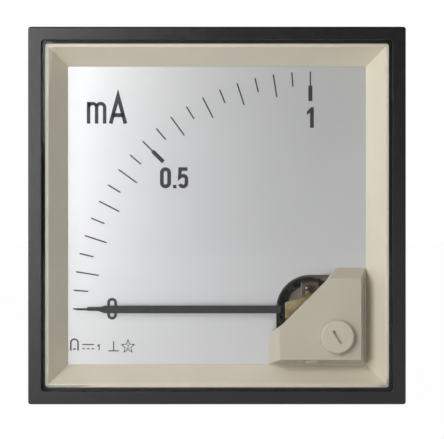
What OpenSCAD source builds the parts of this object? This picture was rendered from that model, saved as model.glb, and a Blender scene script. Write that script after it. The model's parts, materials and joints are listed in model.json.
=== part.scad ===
// Square panel meter with a moving-coil quadrant movement. Millimetres, +Z up.
// The origin is the centre of the panel plane: the bezel's rear face lies on y = 0,
// the front of the meter faces -Y and its housing goes into the panel along +Y.

/* [Bezel and glass] */
// Width and height of the bezel
bezel_w = 96; // [88:1:144]
// Depth of the bezel in front of the panel
bezel_depth = 5.5; // [5:0.1:8]
// Width of the bezel's front face
bezel_face_w = 3.3; // [2.8:0.1:5]
// Thickness of the lip that holds the glass
bezel_lip = 1.1; // [0.8:0.1:2]
// Rounding of the bezel's front edges
bezel_edge_r = 0.4; // [0.2:0.1:1]
// Thickness of the window glass
glass_t = 1.5; // [1:0.1:1.8]

/* [Housing] */
// Depth of the housing behind the panel
body_depth = 46; // [44:1:70]
// Thickness of the housing's side walls
wall_t = 2; // [1.8:0.1:3]
// Thickness of the housing's back wall
back_t = 2.5; // [2:0.1:4]
// Outer corner radius of the housing
body_corner_r = 3; // [2:0.5:6]
// Thickness of the flange that rests on the panel
flange_t = 1.9; // [1.5:0.1:2.2]
// Height of the walls round the terminals
barrier_h = 8; // [5:0.5:12]
// Distance of each terminal from the middle
terminal_dx = 15; // [13:0.5:20]
// Height of the terminals above the middle
terminal_z = 22; // [16:1:24]

/* [Dial] */
// Depth of the dial behind the panel plane
dial_y = 6; // [5.8:0.1:8]
// Thickness of the dial plate
dial_t = 0.5; // [0.4:0.1:0.8]
// Width of the surround's sloping border seen from the front
slope_w = 4; // [3:0.1:6]
// Distance of the pointer's pivot from the edges of the seen dial
pivot_inset = 14.5; // [14:0.5:18]
// Radius of the dial's opening round the pivot
dial_cut_r = 8.9; // [8.6:0.1:9.4]

/* [Corner cover] */
// Height of the corner cover above the dial
cover_h = 7.5; // [7:0.1:8.5]
// Wall thickness of the corner cover
cover_wall = 1.1; // [0.8:0.1:1.4]
// Thickness of the corner cover's top
cover_top = 1.3; // [1:0.1:1.6]
// Distance from the pivot to the cover's slanting open side
cover_cut = 2.83; // [2:0.1:3.4]
// Diameter of the zero adjuster's head
button_d = 8.65; // [7:0.1:9]
// How far the zero adjuster stands out of the cover
button_h = 1.8; // [1.2:0.1:2.2]

/* [Pointer] */
// Gap between the dial and the pointer
pointer_lift = 2.4; // [2:0.1:2.6]
// Width of the pointer's blade
blade_w = 2; // [1.2:0.1:2.6]
// Length of the thin needle at the pointer's tip
needle_len = 5.6; // [3:0.1:8]
// Width of the needle
needle_w = 0.6; // [0.4:0.1:1]
// Thickness of the pointer's sheet
pointer_t = 0.15; // [0.1:0.05:0.25]

/* [Movement] */
// Radius of the core magnet
core_r = 6; // [5:0.1:6.2]
// Length of the core magnet
core_len = 13; // [10:0.5:14]
// Air gap between the core and the yoke
air_gap = 2.1; // [2.1:0.05:2.4]
// Wall thickness of the yoke ring
yoke_t = 2.5; // [2.2:0.1:2.6]
// Width of the moving coil
coil_w = 4.6; // [3:0.1:4.8]
// Turns of each hairspring
spring_turns = 4; // [2:1:4]

/* [Hidden] */
$fn = 64;

// Working clearances
snap_gap = 0.1;
screw_gap = 0.05;
run_gap = 0.12;
spring_end_gap = 0.15;
washer_gap = 0.15;
cut = 0.5;

// Bezel and glass
bezel_half = bezel_w / 2;
window_half = bezel_half - bezel_face_w;
glass_y0 = -bezel_depth + bezel_lip;
glass_y1 = glass_y0 + glass_t;
glass_half = window_half + 0.8;
rabbet_half = glass_half + 0.2;
flange_half = bezel_half - 1.2;
latch_w = 8;
latch_t = 0.75;
latch_reach = 5.5;
latch_hook = 0.65;
latch_pitch = bezel_w * 0.52;

// Housing
body_half = bezel_half - 3;
inner_half = body_half - wall_t;
floor_y = body_depth - back_t;
seat_half = window_half - 0.65;
seat_y = dial_y - 5.4;
column_leg = 9;
pocket_depth = latch_hook + 0.25;
clamp_slot_w = 3.2;
clamp_slot_len = 10;
clamp_slot_depth = 1.4;
clamp_pad_t = 1.6;
clamp_dz = 12;
clamp_y = 16;
barrier_t = 1.5;
barrier_half = terminal_dx + 8.5;
barrier_z0 = terminal_z - 9;
barrier_len = 18;

// Inner surround
surround_half = seat_half - 0.1;
lip_half = window_half - 1.8;
dial_open_half = lip_half - slope_w;
slope_y0 = glass_y1 + 0.45;
surround_wall = 1.2;

// Dial and pivot
dial_half = inner_half - 0.4;
pivot = dial_open_half - pivot_inset;
dial_cut_far = pivot + 8.45;
dial_screw_u = 11.05;
dial_screw_v = 5.85;
peg_r = 0.9;
peg_at = dial_half - 1.5;

// Corner cover, given as distances from the pivot
cover_y0 = dial_y - cover_h;
cover_near = 10.75;
cover_near_top = 8.3;
cover_far_top = pivot_inset - 1.85;
cover_far = pivot_inset - 0.15;
cover_inner_y = cover_y0 + cover_top;
clip_w = 3;
clip_t = 1;

// Zero adjuster
button_at = [6.45, -6.65];
button_dist = norm(button_at);
button_angle = atan2(button_at[1], button_at[0]);
button_r = button_d / 2;
button_y0 = cover_y0 - button_h;
button_stem_r = 2.6;
button_slot_len = 3.7;
button_slot_w = 0.7;
button_slot_angle = -57;
crank_e = 1.5;
crank_r = 0.6;
fork_gap = 0.22;
hole_in_glass_r = button_r + 0.4;

// Levels of the movement along Y
bridge_y0 = dial_y - 4.2;
bridge_t = 1.2;
bridge_y1 = bridge_y0 + bridge_t;
boss_r = 2.3;
boss_y1 = bridge_y1 + 1.05;
lever_y0 = bridge_y1 + 0.3;
lever_t = 0.4;
ring_y0 = boss_y1 - 0.25;
front_spring_y = dial_y - 0.8;
spring_h = 0.5;
cross_y0 = dial_y + 0.2;
arm_y0 = dial_y + 1.1;
arm_y1 = arm_y0 + 0.4;
coil_y0 = dial_y + 2.75;
winding_t = 0.85;
former_t = 0.4;
core_clear = 0.5;
core_y0 = coil_y0 + winding_t + former_t + core_clear;
core_y1 = core_y0 + core_len;
coil_y1 = core_y1 + core_clear + former_t + winding_t;
yoke_y0 = core_y0 - core_clear;
yoke_y1 = core_y1 + core_clear;
frame_t = 3;
frame_y1 = yoke_y1 + frame_t;
rear_spring_y = coil_y1 + 1.15;
rear_bridge_y0 = frame_y1 + 3.4;
rear_bridge_y1 = rear_bridge_y0 + bridge_t;

// Sizes of the movement
former_r = core_r + 0.35;
winding_r0 = former_r + former_t;
winding_r1 = winding_r0 + winding_t;
yoke_r0 = core_r + air_gap;
yoke_r1 = yoke_r0 + yoke_t;
support_w = 2;
pillar_r = 1;
pillar_at = yoke_r0 + pillar_r + 0.1;
rear_foot_at = yoke_r1 + 1.2;
rear_foot_r = 1.5;
frame_hole_r = yoke_r0 + 0.3;
staff_r = 0.4;
staff_tip_r = 0.08;
staff_tip_len = 0.55;
staff_foot_r = 1.6;
staff_foot_t = 0.3;
collet_r = 1.13;
collet_h = 0.8;
cross_hub_r = 1.3;
weight_at = 5.5;
side_weight_r = 0.8;
tail_weight_at = 6.6;
tail_weight_r = 1.47;
side_arm_angle = 80;
jewel_r = 0.75;
jewel_len = 1;
jewel_screw_r = 1.5;
lock_nut_af = 5;
lock_nut_t = 0.9;

// Hairsprings: half circles round two centres, half a pitch apart
spring_t = 0.12;
spring_r0 = collet_r + spring_end_gap + spring_t / 2;
spring_pitch = 0.9;
spring_r1 = spring_r0 + spring_turns * spring_pitch;
spring_end_angle = 45;
anchor_w = 0.8;
anchor_at = spring_r1 + spring_t / 2 + anchor_w / 2;

// Pointer
pointer_y0 = dial_y - pointer_lift - pointer_t;
pointer_root_y0 = arm_y0 - pointer_t;
pointer_r = pivot + dial_open_half - 2.2;
blade_r = pointer_r - needle_len - 1.9;
crank_r0 = 4.7;
crank_r1 = 7.9;
root_w = 2.6;
root_hub_r = 2;
neck_w = 1.8;

// Bosses and screws
boss_d = 6.4;
frame_screw_r = 1.5;
frame_screw_at = [[11.65, -11.65], [12.65, 11.85], [-11.85, -12.65]];
small_screw_r = 0.8;
dial_screw_r = 1;

// Terminals
stud_r = 2;
stud_mean_r = 1.8;
stud_head_t = 2.8;
stud_free_len = 5.8;
stud_chamfer = 0.4;
nut_af = 7;
nut_t = 3.2;
tag_t = 0.8;
washer_t = 0.8;
clamp_t = 1;
nuts_end_y = body_depth + washer_t + clamp_t + 2 * nut_t;
tag_len = 9;
lead_r = 0.6;
lead_y = floor_y - tag_t - lead_r;
tag_z = terminal_z - tag_len + 1;
anchor_tail_y = rear_bridge_y1 + 1.6;
ear_at = [-11.85, -6.65];

// ---- shared shapes ----

// Draws a flat outline in X and Z and gives it thickness from y0 to y1
module slab(y0, y1) {
    translate([0, y1, 0])
        rotate([90, 0, 0])
            linear_extrude(y1 - y0)
                children();
}

// Turns a profile drawn as radius and y round the Y axis
module turned() {
    rotate([-90, 0, 0])
        rotate_extrude()
            children();
}

// Puts a shape at a place measured from the pointer's pivot
module from_pivot(at = [0, 0]) {
    translate([pivot + at[0], 0, -pivot + at[1]])
        children();
}

// Turns a shape in the plane of the dial, anticlockwise as seen from the front
module turned_by(angle) {
    rotate([0, -angle, 0])
        children();
}

module rod(r, y0, y1) {
    slab(y0, y1)
        circle(r);
}

module hex(af, y0, y1) {
    slab(y0, y1)
        circle(af / sqrt(3), $fn = 6);
}

module rounded_square(half, r) {
    inner = half - r;
    square([2 * inner, 2 * half], center = true);
    square([2 * half, 2 * inner], center = true);
    for (x = [-inner, inner])
        for (z = [-inner, inner])
            translate([x, z])
                circle(r);
}

// A solid whose section along X and along Z is the same outline of half width and y,
// so that its four sides meet in mitred corners
module mitred(half_outline) {
    n = len(half_outline);
    mirrored = [for (i = [n - 1:-1:0]) [-half_outline[i][0], half_outline[i][1]]];
    outline = concat(half_outline, mirrored);
    span = 2 * bezel_w;
    intersection() {
        linear_extrude(span, center = true)
            polygon(outline);
        rotate([0, -90, 0])
            linear_extrude(span, center = true)
                polygon(outline);
    }
}

// Repeats a shape on the four sides of the square body
module on_four_sides() {
    for (angle = [0, 90, 180, 270])
        rotate([0, angle, 0])
            children();
}

// A slotted cheese-head screw whose head starts at y0 and whose shank ends at y2
module slotted_screw(r, head_r, y0, y1, y2) {
    slot_w = head_r * 0.35;
    difference() {
        union() {
            rod(head_r, y0, y1);
            rod(r, y1, y2);
        }
        if (y0 < y1)
            translate([-head_r - cut, y0 - cut, -slot_w / 2])
                cube([2 * (head_r + cut), cut + (y1 - y0) * 0.45, slot_w]);
    }
}

// The same screw put in from behind, with its head between y0 and y1
module rear_screw(r, head_r, tip_y, y0, y1) {
    slot_w = head_r * 0.35;
    difference() {
        union() {
            rod(head_r, y0, y1);
            rod(r, tip_y, y0);
        }
        translate([-head_r - cut, y1 - (y1 - y0) * 0.45, -slot_w / 2])
            cube([2 * (head_r + cut), y1 - y0, slot_w]);
    }
}

// ---- bezel and glass ----

module latch_tongue() {
    face = body_half + 0.15;
    translate([0, 0, -latch_w / 2])
        linear_extrude(latch_w)
            polygon([
                [rabbet_half + cut, glass_y1 + 0.05],
                [face, glass_y1 + 0.05],
                [face, latch_reach - 1.9],
                [face - latch_hook, latch_reach - 1.5],
                [face - latch_hook, latch_reach - 1.1],
                [face, latch_reach],
                [face + latch_t, latch_reach],
                [face + latch_t, -flange_t],
                [rabbet_half + cut, -flange_t]
            ]);
}

module bezel_section() {
    r = bezel_edge_r;
    translate([-bezel_half, -bezel_depth + r])
        square([bezel_w, bezel_depth - r]);
    translate([-bezel_half + r, -bezel_depth])
        square([bezel_w - 2 * r, bezel_depth]);
    for (x = [-bezel_half + r, bezel_half - r])
        translate([x, -bezel_depth + r])
            circle(r);
}

module bezel_frame() {
    color("#26282a") {
        difference() {
            intersection() {
                linear_extrude(bezel_w, center = true)
                    bezel_section();
                rotate([0, -90, 0])
                    linear_extrude(bezel_w, center = true)
                        bezel_section();
                slab(-bezel_depth - cut, cut)
                    rounded_square(bezel_half, 0.8);
            }
            slab(-bezel_depth - cut, cut)
                rounded_square(window_half, 1);
            slab(glass_y0, cut)
                rounded_square(rabbet_half, 1.2);
            slab(-flange_t, cut)
                rounded_square(flange_half + snap_gap, 1.6);
        }
        on_four_sides()
            for (z = [-latch_pitch / 2, latch_pitch / 2])
                translate([0, 0, z])
                    latch_tongue();
    }
}

module window_glass() {
    color("#dfe8e6", 0.3)
        slab(glass_y0, glass_y1)
            difference() {
                rounded_square(glass_half, 1);
                translate([pivot + button_at[0], -pivot + button_at[1]])
                    circle(hole_in_glass_r);
            }
}

// ---- housing ----

module corner_columns() {
    for (angle = [0, 90, 180, 270])
        rotate([0, angle, 0])
            slab(dial_y + dial_t, floor_y + cut)
                polygon([
                    [inner_half + cut, inner_half + cut],
                    [inner_half - column_leg, inner_half + cut],
                    [inner_half - column_leg, inner_half],
                    [inner_half, inner_half - column_leg],
                    [inner_half + cut, inner_half - column_leg]
                ]);
}

module dial_pegs() {
    for (side = [-1, 1])
        translate([side * peg_at, 0, -side * peg_at])
            rod(peg_r, dial_y - 0.4, dial_y + dial_t + cut);
}

// Stiffening ribs up the inside of each side wall
module wall_ribs() {
    on_four_sides()
        for (z = [-14, 14])
            translate([inner_half - 1.5, dial_y + 12, z - 0.6])
                cube([1.5 + cut, floor_y - dial_y - 12 + cut, 1.2]);
}

// Thicker wall behind the slots that take the panel clamps
module clamp_pads() {
    for (side = [-1, 1])
        translate([side * (inner_half - clamp_pad_t / 2 + cut / 2), clamp_y, 0])
            cube([clamp_pad_t + cut, clamp_slot_len + 6, 2 * clamp_dz + 8], center = true);
}

module clamp_slots() {
    for (side = [-1, 1])
        for (z = [-clamp_dz, clamp_dz])
            translate([side * (body_half - clamp_slot_depth / 2 + cut / 2), clamp_y, z])
                cube([clamp_slot_depth + cut, clamp_slot_len, clamp_slot_w], center = true);
}

module frame_bosses() {
    for (at = frame_screw_at)
        from_pivot(at)
            rod(boss_d / 2, frame_y1, floor_y + cut);
}

module terminal_barriers() {
    for (x = [-barrier_half, 0, barrier_half])
        translate([x - barrier_t / 2, body_depth - cut, barrier_z0])
            cube([barrier_t, barrier_h + cut, barrier_len]);
    translate([-barrier_half - barrier_t / 2, body_depth - cut, barrier_z0 - barrier_t])
        cube([2 * barrier_half + barrier_t, barrier_h + cut, barrier_t]);
}

module housing_walls() {
    difference() {
        union() {
            slab(-flange_t, 0)
                rounded_square(flange_half, 1.5);
            slab(-flange_t, body_depth)
                rounded_square(body_half, body_corner_r);
        }
        slab(-flange_t - cut, seat_y)
            rounded_square(seat_half, 0.6);
        slab(seat_y - cut, floor_y)
            rounded_square(inner_half, 1.2);
    }
}

module housing() {
    color("#1d1f21")
        difference() {
            union() {
                housing_walls();
                intersection() {
                    union() {
                        corner_columns();
                        wall_ribs();
                        clamp_pads();
                        frame_bosses();
                    }
                    slab(seat_y, body_depth - 1)
                        rounded_square(body_half - 1, 2);
                }
                dial_pegs();
                terminal_barriers();
            }
            clamp_slots();
            // Flange notches and wall pockets for the bezel's latches
            on_four_sides()
                for (z = [-latch_pitch / 2, latch_pitch / 2]) {
                    translate([body_half, -flange_t - cut, z - latch_w / 2 - 0.3])
                        cube([bezel_w, flange_t + 2 * cut, latch_w + 0.6]);
                    translate([body_half - pocket_depth, latch_reach - 2.1, z - latch_w / 2 - 0.3])
                        cube([pocket_depth + cut, 2.3, latch_w + 0.6]);
                }
            for (at = frame_screw_at)
                from_pivot(at)
                    rod(frame_screw_r + screw_gap, frame_y1 - cut, frame_y1 + 9);
            for (x = [-terminal_dx, terminal_dx])
                translate([x, 0, terminal_z])
                    rod(stud_r + screw_gap, floor_y - cut, body_depth + cut);
        }
}

// ---- inner surround ----

module inner_surround() {
    slope = slope_w / (dial_y - slope_y0);
    color("#d8d2bb")
        difference() {
            union() {
                slab(glass_y1, seat_y)
                    rounded_square(surround_half, 0.8);
                mitred([
                    [surround_half - 1.25, seat_y - cut],
                    [surround_half - 1.25, seat_y],
                    [dial_open_half + surround_wall, dial_y]
                ]);
            }
            mitred([
                [lip_half + 0.45 + cut, glass_y1 - cut],
                [lip_half + 0.45, glass_y1],
                [lip_half + 0.12, glass_y1 + 0.12],
                [lip_half, slope_y0],
                [dial_open_half, dial_y],
                [dial_open_half - cut * slope, dial_y + cut]
            ]);
        }
}

// ---- dial ----

module dial_cutout() {
    square_half = dial_cut_far - pivot;
    circle(dial_cut_r);
    translate([0, -square_half])
        square([square_half, square_half + dial_cut_r]);
    translate([-dial_cut_r, -square_half])
        square([dial_cut_r + cut, square_half]);
}

module dial_plate() {
    color("#dddfdd")
        slab(dial_y, dial_y + dial_t)
            difference() {
                rounded_square(dial_half, 0.8);
                translate([pivot, -pivot])
                    dial_cutout();
                for (at = [[dial_screw_u, dial_screw_v], [-dial_screw_v, -dial_screw_u]])
                    translate([pivot + at[0], -pivot + at[1]])
                        circle(dial_screw_r + 0.1);
                for (side = [-1, 1])
                    translate([side * peg_at, -side * peg_at])
                        circle(peg_r + 0.1);
                translate([pivot, -pivot])
                    clip_slots();
            }
}

module dial_pillars() {
    color("#b99b4e")
        for (at = [[dial_screw_u, dial_screw_v], [-dial_screw_v, -dial_screw_u]])
            from_pivot(at)
                difference() {
                    union() {
                        rod(1.5, dial_y + dial_t, yoke_y1);
                        rod(1, yoke_y1, frame_y1);
                    }
                    rod(dial_screw_r + screw_gap, dial_y, dial_y + 7);
                }
}

module dial_screws() {
    color("#8c8f92")
        for (at = [[dial_screw_u, dial_screw_v], [-dial_screw_v, -dial_screw_u]])
            from_pivot(at)
                slotted_screw(dial_screw_r, 1.8, dial_y - 1.1, dial_y, dial_y + 6);
}

// ---- corner cover and zero adjuster ----

// One side view of the cover: near is the side towards the middle of the dial
module cover_section(near, near_top, far_top, far, top_y, base_y) {
    polygon([[-near, base_y], [-near_top, top_y], [far_top, top_y], [far, base_y]]);
}

module cover_block(inset, top_y, base_y) {
    near_slope = (cover_near - cover_near_top) / cover_h;
    far_slope = (cover_far - cover_far_top) / cover_h;
    down = top_y - cover_y0;
    grow = base_y - dial_y;
    near_top = cover_near_top + near_slope * down - inset;
    near = cover_near + near_slope * grow - inset;
    far_top = cover_far_top + far_slope * down - inset;
    far = cover_far + far_slope * grow - inset;
    from_pivot()
        intersection() {
            linear_extrude(bezel_w, center = true)
                cover_section(near, near_top, far_top, far, top_y, base_y);
            rotate([0, 90, 0])
                linear_extrude(bezel_w, center = true)
                    cover_section(near, near_top, far_top, far, top_y, base_y);
        }
}

// The half of the corner on the far side of the slanting cut
module beyond_cut() {
    reach = 3 * pivot_inset;
    from_pivot()
        turned_by(-45)
            translate([-cover_cut, cover_y0 - 5, -reach])
                cube([2 * reach, cover_h + 10, 2 * reach]);
}

module cover_clip() {
    outer = cover_far - cover_wall;
    translate([0, 0, -clip_w / 2])
        linear_extrude(clip_w)
            polygon([
                [outer + 0.3, cover_inner_y],
                [outer - clip_t, cover_inner_y],
                [outer - clip_t, dial_y + dial_t + 0.05],
                [outer - clip_t - 0.5, dial_y + dial_t + 0.05],
                [outer - clip_t, dial_y + dial_t + 1.5],
                [outer, dial_y + dial_t + 1.5],
                [outer, dial_y],
                [outer + 0.3, dial_y]
            ]);
}

module clip_slots() {
    outer = cover_far - cover_wall;
    translate([outer - clip_t - 0.6, -clip_w / 2 - 0.1])
        square([clip_t + 0.7, clip_w + 0.2]);
    translate([-clip_w / 2 - 0.1, -outer - 0.1])
        square([clip_w + 0.2, clip_t + 0.7]);
}

module corner_cover() {
    color("#d3cdb6") {
        difference() {
            intersection() {
                cover_block(0, cover_y0, dial_y);
                beyond_cut();
            }
            cover_block(cover_wall, cover_inner_y, dial_y + cut);
            from_pivot(button_at)
                rod(button_stem_r + run_gap, cover_y0 - cut, cover_inner_y + cut);
        }
        from_pivot() {
            cover_clip();
            turned_by(-90)
                cover_clip();
        }
    }
}

module button_profile() {
    head_y1 = cover_y0 - 0.1;
    r = 0.5;
    snap_y = cover_inner_y + 0.1;
    translate([0, button_y0])
        square([button_r - r, head_y1 - button_y0]);
    translate([0, button_y0 + r])
        square([button_r, head_y1 - button_y0 - r]);
    translate([button_r - r, button_y0 + r])
        circle(r);
    polygon([
        [0, head_y1 - 0.1],
        [button_stem_r, head_y1 - 0.1],
        [button_stem_r, snap_y],
        [button_stem_r + 0.5, snap_y],
        [button_stem_r + 0.5, snap_y + 0.3],
        [button_stem_r + 0.1, snap_y + 1],
        [0, snap_y + 1]
    ]);
}

module zero_button() {
    snap_y = cover_inner_y + 0.1;
    color("#d9d3bd")
        from_pivot(button_at) {
            difference() {
                turned()
                    button_profile();
                turned_by(button_slot_angle)
                    translate([-button_slot_len / 2, button_y0 - cut, -button_slot_w / 2])
                        cube([button_slot_len, cut + 0.9, button_slot_w]);
            }
            turned_by(button_angle)
                translate([-crank_e, 0, 0])
                    rod(crank_r, snap_y + 0.8, lever_y0 + lever_t + 0.6);
        }
}

module lever_outline() {
    slot_half = crank_r + fork_gap;
    fork_half = slot_half + 0.9;
    fork_r0 = button_dist - crank_e - crank_r - 0.5;
    fork_r1 = button_dist + 0.6;
    difference() {
        union() {
            circle(boss_r + run_gap + 1.2);
            rotate(spring_end_angle)
                translate([0, -anchor_w])
                    square([anchor_at + anchor_w / 2, 2 * anchor_w]);
            rotate(button_angle) {
                translate([0, -1.2])
                    square([fork_r0, 2.4]);
                translate([fork_r0 - 1, -fork_half])
                    square([fork_r1 - fork_r0 + 1, 2 * fork_half]);
            }
        }
        circle(boss_r + run_gap);
        rotate(button_angle)
            translate([fork_r0, -slot_half])
                square([fork_r1 - fork_r0 + cut, 2 * slot_half]);
    }
}

module zero_lever() {
    color("#c2a04c")
        from_pivot() {
            slab(lever_y0, lever_y0 + lever_t)
                lever_outline();
            turned_by(spring_end_angle)
                translate([anchor_at - anchor_w / 2, lever_y0, -anchor_w / 2])
                    cube([anchor_w, front_spring_y + spring_h + 0.2 - lever_y0, anchor_w]);
        }
}

module lever_ring() {
    color("#77797b")
        from_pivot()
            slab(ring_y0, boss_y1)
                difference() {
                    circle(boss_r + 0.9);
                    circle(boss_r);
                    translate([0, -0.5])
                        square([boss_r * 2, 1]);
                }
}

// ---- hairsprings ----

module half_ring(r) {
    difference() {
        circle(r + spring_t / 2);
        circle(r - spring_t / 2);
        translate([-2 * r, -2 * r])
            square([4 * r, 2 * r]);
    }
}

module spiral() {
    for (i = [0:spring_turns - 1]) {
        r = spring_r0 + i * spring_pitch;
        half_ring(r);
        translate([spring_pitch / 2, 0])
            mirror([0, 1])
                half_ring(r + spring_pitch / 2);
    }
}

module front_hairspring() {
    color("#c79a45")
        from_pivot()
            slab(front_spring_y, front_spring_y + spring_h)
                rotate(spring_end_angle)
                    spiral();
}

module rear_hairspring() {
    color("#c79a45")
        from_pivot()
            slab(rear_spring_y, rear_spring_y + spring_h)
                rotate(spring_end_angle)
                    spiral();
}

// ---- pointer and balance ----

// The pointer's sheet seen from the side, as distance from the pivot and y
module pointer_side_view() {
    t = pointer_t;
    polygon([
        [-3, pointer_root_y0],
        [crank_r0, pointer_root_y0],
        [crank_r1, pointer_y0],
        [pointer_r + cut, pointer_y0],
        [pointer_r + cut, pointer_y0 + t],
        [crank_r1 + t, pointer_y0 + t],
        [crank_r0 + t, pointer_root_y0 + t],
        [-3, pointer_root_y0 + t]
    ]);
}

// The pointer seen from the front, pointing along +X
module pointer_outline() {
    hub_arc = [for (angle = [170:-10:30]) root_hub_r * [cos(angle), sin(angle)]];
    half_blade = [
        [crank_r0 + 0.6, neck_w / 2],
        [crank_r0 + 1.6, root_w / 2],
        [crank_r1 - 0.9, root_w / 2],
        [crank_r1 + 0.3, blade_w / 2],
        [blade_r, blade_w / 2],
        [pointer_r - needle_len, needle_w / 2],
        [pointer_r, needle_w / 2 - 0.1]
    ];
    half_outline = concat(hub_arc, half_blade);
    n = len(half_outline);
    mirrored = [for (i = [n - 1:-1:0]) [half_outline[i][0], -half_outline[i][1]]];
    difference() {
        polygon(concat(half_outline, mirrored));
        circle(cross_hub_r);
    }
}

module pointer() {
    color("#3f4143")
        from_pivot()
            turned_by(180)
                intersection() {
                    slab(pointer_y0 - cut, arm_y0 + cut)
                        pointer_outline();
                    translate([0, 0, -3])
                        linear_extrude(6)
                            pointer_side_view();
                }
}

module balance_arms() {
    translate([0, -0.5])
        square([tail_weight_at + 1, 1]);
    for (angle = [side_arm_angle + 180, 180 - side_arm_angle])
        rotate(angle)
            translate([0, -0.5])
                square([weight_at + 0.8, 1]);
}

module balance_cross() {
    color("#a88d45")
        from_pivot()
            difference() {
                union() {
                    slab(arm_y0, arm_y1)
                        balance_arms();
                    rod(cross_hub_r, cross_y0, arm_y1 + 0.4);
                }
                rod(staff_r, cross_y0 - cut, arm_y1 + 1);
            }
}

module balance_weights() {
    color("#5c5e60")
        from_pivot()
            difference() {
                union() {
                    translate([tail_weight_at, 0, 0])
                        rod(tail_weight_r, arm_y0 - 2.3, arm_y1 + 0.8);
                    for (angle = [side_arm_angle + 180, 180 - side_arm_angle])
                        turned_by(angle)
                            translate([weight_at, 0, 0])
                                rod(side_weight_r, arm_y0 - 0.7, arm_y1 + 0.8);
                }
                slab(arm_y0, arm_y1)
                    balance_arms();
            }
}

module spring_collets() {
    color("#b99b4e")
        from_pivot()
            for (y = [front_spring_y, rear_spring_y])
                slab(y + spring_h / 2 - collet_h / 2, y + spring_h / 2 + collet_h / 2)
                    difference() {
                        circle(collet_r);
                        circle(staff_r);
                    }
}

// ---- coil ----

module front_staff() {
    shaft_y = dial_y - 1;
    color("#9a9da0")
        from_pivot()
            turned()
                polygon([
                    [0, shaft_y - staff_tip_len],
                    [staff_tip_r, shaft_y - staff_tip_len],
                    [staff_r, shaft_y],
                    [staff_r, coil_y0 - staff_foot_t],
                    [staff_foot_r, coil_y0 - staff_foot_t],
                    [staff_foot_r, coil_y0],
                    [0, coil_y0]
                ]);
}

module rear_staff() {
    shaft_y = coil_y1 + 1.85;
    color("#9a9da0")
        from_pivot()
            turned()
                polygon([
                    [0, coil_y1],
                    [staff_foot_r, coil_y1],
                    [staff_foot_r, coil_y1 + staff_foot_t],
                    [staff_r, coil_y1 + staff_foot_t],
                    [staff_r, shaft_y],
                    [staff_tip_r, shaft_y + staff_tip_len],
                    [0, shaft_y + staff_tip_len]
                ]);
}

// A rounded oblong in the coil's plane, as Z and y
module coil_oblong(half_z, y0, y1, r) {
    for (z = [-half_z + r, half_z - r])
        for (y = [y0 + r, y1 - r])
            translate([z, y])
                circle(r);
    translate([-half_z, y0 + r])
        square([2 * half_z, y1 - y0 - 2 * r]);
    translate([-half_z + r, y0])
        square([2 * (half_z - r), y1 - y0]);
}

module across_coil(w) {
    from_pivot()
        rotate([0, -90, 0])
            linear_extrude(w, center = true)
                children();
}

module coil_former() {
    color("#c9cccf") {
        across_coil(coil_w)
            difference() {
                coil_oblong(winding_r0, coil_y0 + winding_t, coil_y1 - winding_t, 0.6);
                coil_oblong(former_r, coil_y0 + winding_t + former_t, coil_y1 - winding_t - former_t, 0.3);
            }
        // Cheeks that keep the winding in place
        for (side = [-1, 1])
            translate([side * (coil_w / 2 - 0.15), 0, 0])
                across_coil(0.3)
                    difference() {
                        coil_oblong(winding_r1 - 0.1, coil_y0 + 0.1, coil_y1 - 0.1, 1.3);
                        coil_oblong(winding_r0 - 0.1, coil_y0 + winding_t + 0.1, coil_y1 - winding_t - 0.1, 0.5);
                    }
    }
}

module coil_winding() {
    color("#8a3b22")
        across_coil(coil_w - 0.6)
            difference() {
                coil_oblong(winding_r1, coil_y0, coil_y1, 1.4);
                coil_oblong(winding_r0, coil_y0 + winding_t, coil_y1 - winding_t, 0.6);
            }
}

// ---- magnet circuit ----

module core_magnet() {
    chamfer = 0.3;
    color("#6b6e70")
        from_pivot()
            turned()
                polygon([
                    [0, core_y0],
                    [core_r - chamfer, core_y0],
                    [core_r, core_y0 + chamfer],
                    [core_r, core_y1 - chamfer],
                    [core_r - chamfer, core_y1],
                    [0, core_y1]
                ]);
}

module core_supports() {
    color("#c4c7c9")
        from_pivot()
            slab(core_y0 + 1, core_y1 - 1)
                difference() {
                    intersection() {
                        circle(yoke_r0 - screw_gap);
                        rotate(-45)
                            square([3 * yoke_r0, support_w], center = true);
                    }
                    circle(core_r);
                }
}

module yoke_ring() {
    color("#54575a")
        from_pivot()
            difference() {
                rod(yoke_r1, yoke_y0, yoke_y1);
                rod(yoke_r0, yoke_y0 - cut, yoke_y1 + cut);
                for (angle = [45, 225])
                    turned_by(angle)
                        translate([pillar_at, 0, 0])
                            rod(small_screw_r, yoke_y0 - cut, yoke_y0 + 3);
                for (angle = [135, 315])
                    turned_by(angle)
                        translate([(yoke_r0 + yoke_r1) / 2, 0, 0])
                            rod(small_screw_r, yoke_y1 - 4, yoke_y1 + cut);
            }
}

module yoke_screws() {
    color("#8c8f92")
        for (angle = [135, 315])
            from_pivot()
                turned_by(angle)
                    translate([(yoke_r0 + yoke_r1) / 2, 0, 0])
                        rear_screw(small_screw_r, 1.5, yoke_y1 - 3.5, frame_y1, frame_y1 + 1);
}

// The frame's outline: a plate whose two corners on the diagonal are cut off
module frame_outline(inset) {
    near = -pivot_inset - 0.85 + inset;
    far = pivot_inset + 1.65 - inset;
    corner = 2 * (inner_half - pivot) - column_leg - 0.8 - inset * 1.42;
    tail = 2 * pivot_inset - 5.4 - inset * 1.42;
    polygon([
        [near, -far],
        [near, tail + near],
        [-near - tail, -near],
        [far, -near],
        [far, -(corner - far)],
        [corner - far, -far]
    ]);
}

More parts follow.
